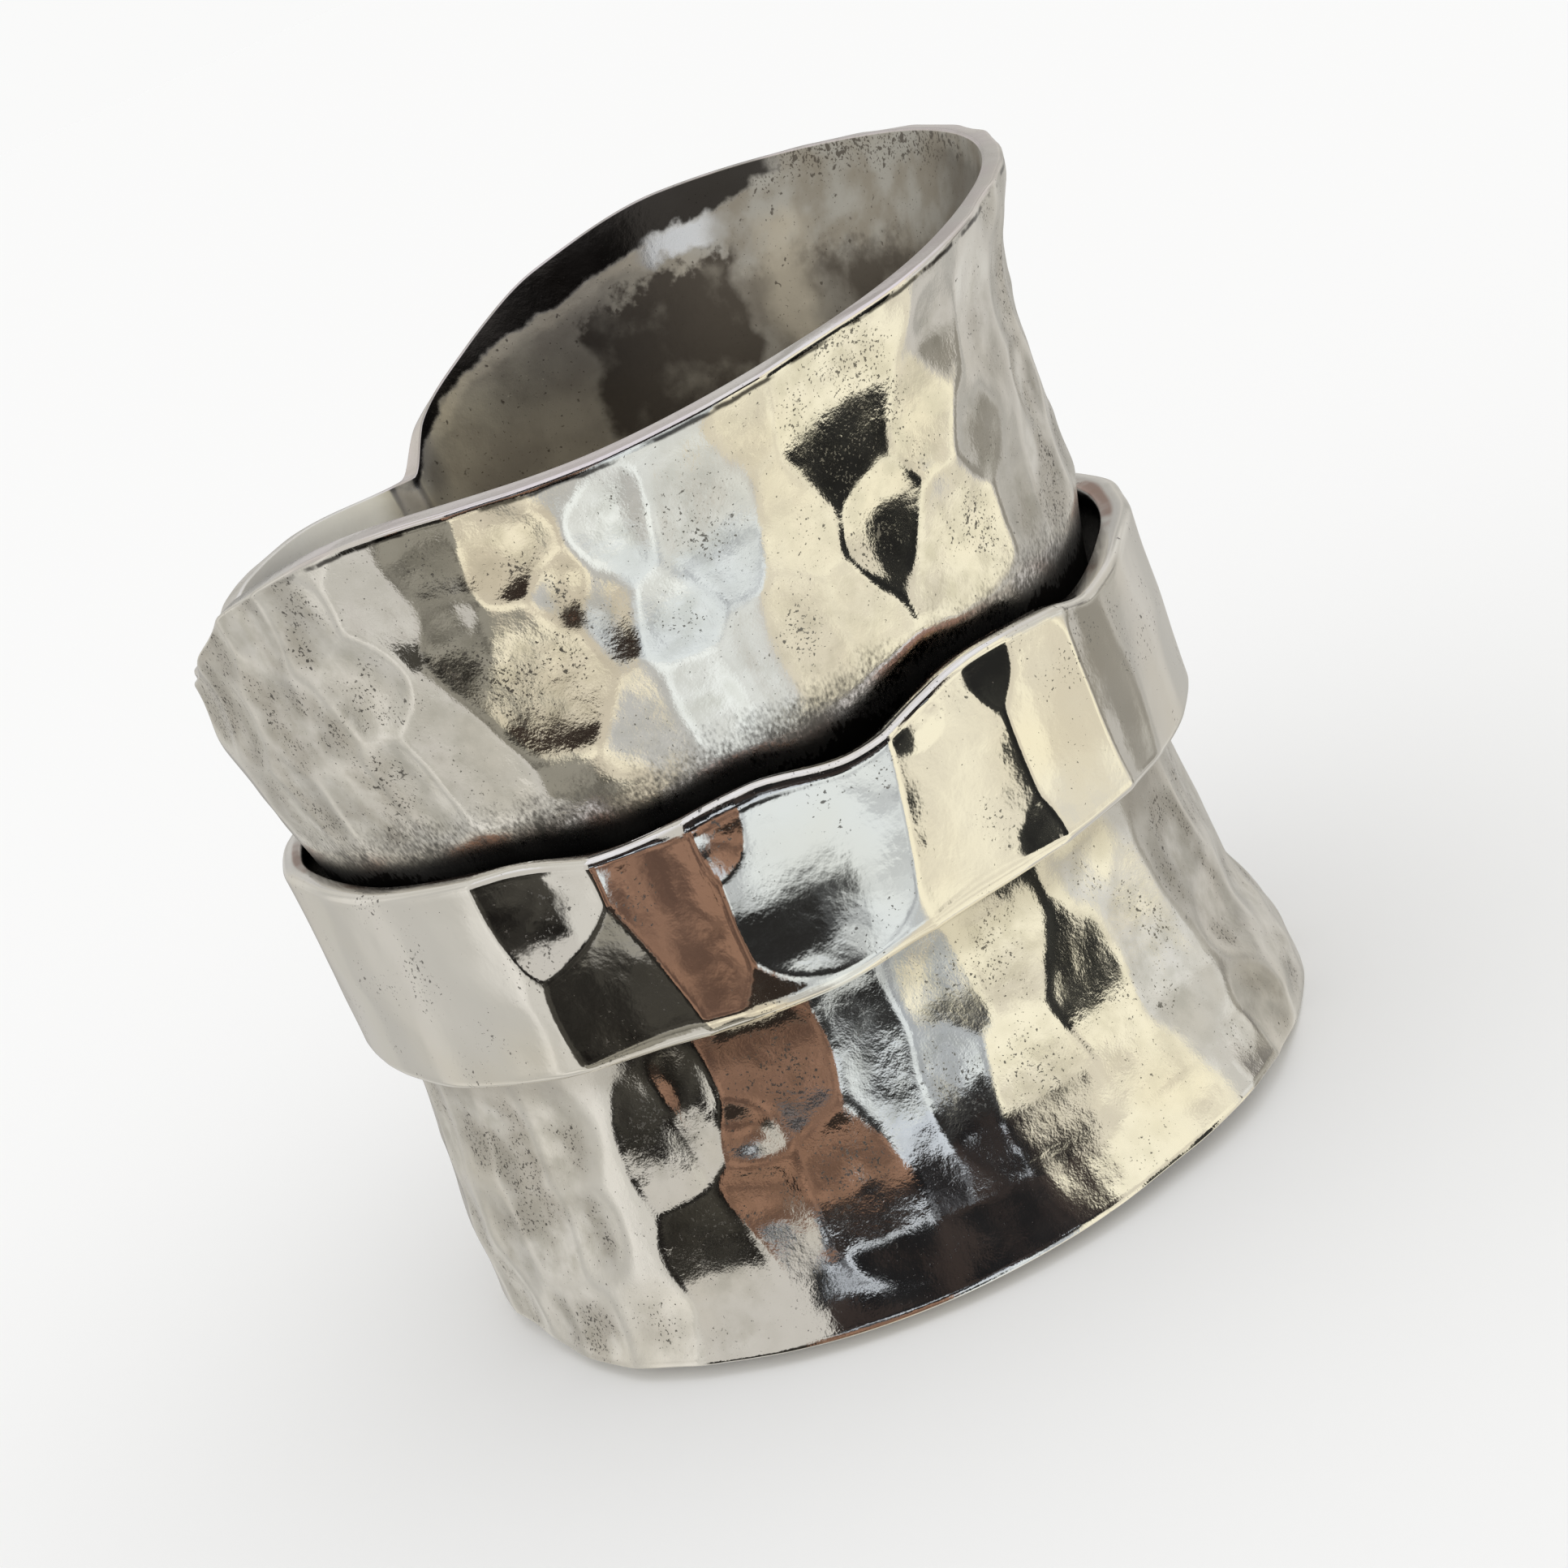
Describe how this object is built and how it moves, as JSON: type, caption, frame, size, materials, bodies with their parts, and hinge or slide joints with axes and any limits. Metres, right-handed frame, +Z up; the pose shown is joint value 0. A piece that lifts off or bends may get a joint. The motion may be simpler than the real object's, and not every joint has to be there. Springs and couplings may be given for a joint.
{
  "type": "wide band ring",
  "caption": "Wide hammered silver band ring with flared rims and a loose hammered band that turns freely round its waist; worn on a finger, it rests on its lower rim.",
  "frame": {"origin": "on the loose band's turning axis, in the plane that the lower rim rests on", "axes": "+Z up along the finger hole's axis, from the lower rim to the upper rim; -Y is the front, where the upper rim is level; the upper rim dips towards -X and is highest at the back, towards +Y"},
  "size_m": [0.0219, 0.0219, 0.0218],
  "materials": {
    "hammered_silver": "polished hammered silver, pitted, with dark tarnish left in the groove over the loose band and inside",
    "burnished_silver": "brightly burnished hammered silver, worn smooth along its edges"
  },
  "bodies": {
    "base": {"base_band": "hammered_silver"},
    "spinner": {"loose_band": "burnished_silver"}
  },
  "joints": [
    {"name": "spinner_turn", "type": "hinge", "parent": "base", "child": "spinner", "pos_m": [0, 0, 0.0101], "axis": [0, 0, 1], "continuous": true}
  ]
}
